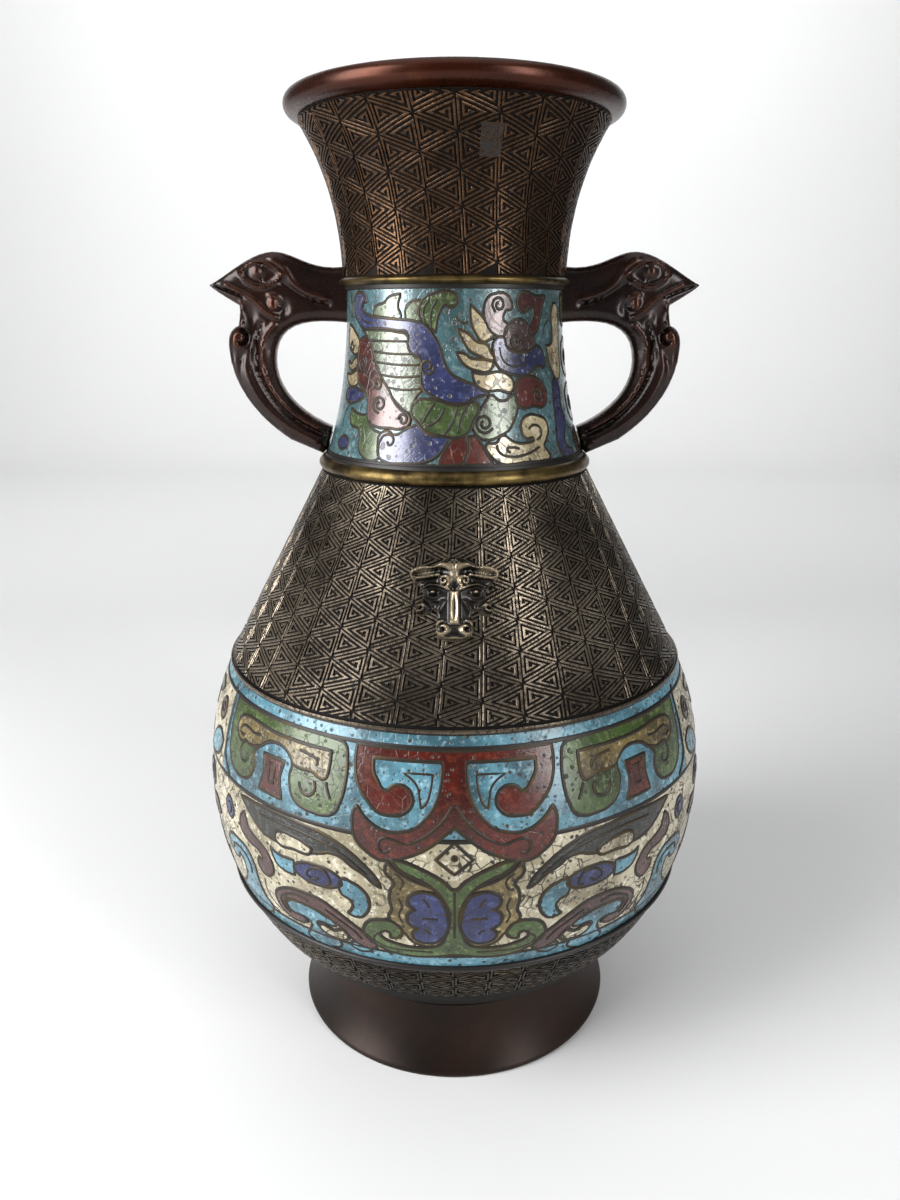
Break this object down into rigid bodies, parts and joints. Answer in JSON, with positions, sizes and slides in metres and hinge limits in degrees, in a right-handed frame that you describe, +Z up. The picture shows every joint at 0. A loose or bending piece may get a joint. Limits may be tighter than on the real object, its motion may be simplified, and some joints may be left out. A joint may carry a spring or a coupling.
{
  "type": "cloisonne vase",
  "caption": "Pear-shaped bronze vase with enamelled belly and neck bands, key-fret shoulder, bird-head handles, ox masks, trumpet mouth and flared foot.",
  "frame": {"origin": "centre of the foot's resting face", "axes": "+Z up along the vase's axis, -Y to the front with its ox mask, the handles along X"},
  "size_m": [0.1698, 0.1698, 0.3049],
  "materials": {
    "foot_bronze": "smooth dark brown patina, satin",
    "fret_bronze": "dark patinated cast relief with rubbed crests",
    "cell_bronze": "ground-back cell walls, brown patina",
    "lip_bronze": "polished red-brown patina",
    "handle_bronze": "glossy dark brown patina with red-brown wear",
    "mask_bronze": "dark patina with bright rubbed edges",
    "patch_bronze": "greyer cast plug",
    "worn_brass": "rubbed brass under thin patina",
    "turquoise_enamel": "glossy pitted enamel",
    "white_enamel": "glossy crackled enamel with dark pits",
    "red_enamel": "glossy brick-red enamel",
    "green_enamel": "glossy leaf-green enamel",
    "yellow_enamel": "glossy mottled yellow enamel",
    "blue_enamel": "glossy deep blue enamel",
    "mauve_enamel": "glossy brown-mauve enamel",
    "slate_enamel": "glossy slate-black enamel",
    "cream_enamel": "glossy cream enamel"
  },
  "bodies": {
    "root": {"foot_ring": "foot_bronze", "base_plate": "foot_bronze", "lower_bowl": "fret_bronze", "lower_bead": "worn_brass", "belly_shell": "cell_bronze", "belly_enamel_lower": "white_enamel", "register_line": "cell_bronze", "belly_enamel_upper": "turquoise_enamel", "shoulder_bead": "worn_brass", "shoulder": "fret_bronze", "lower_neck_collar": "worn_brass", "neck_band": "cell_bronze", "neck_enamel": "turquoise_enamel", "upper_neck_collar": "worn_brass", "neck_flare": "fret_bronze", "repair_patch": "patch_bronze", "mouth_rim": "lip_bronze", "handle_left": "handle_bronze", "handle_right": "handle_bronze", "left_handle_rivets": "worn_brass", "right_handle_rivets": "worn_brass", "left_handle_tenon": "worn_brass", "right_handle_tenon": "worn_brass", "ox_mask_front": "mask_bronze", "ox_mask_back": "mask_bronze", "front_mask_pins": "worn_brass", "back_mask_pins": "worn_brass"}
  },
  "joints": []
}
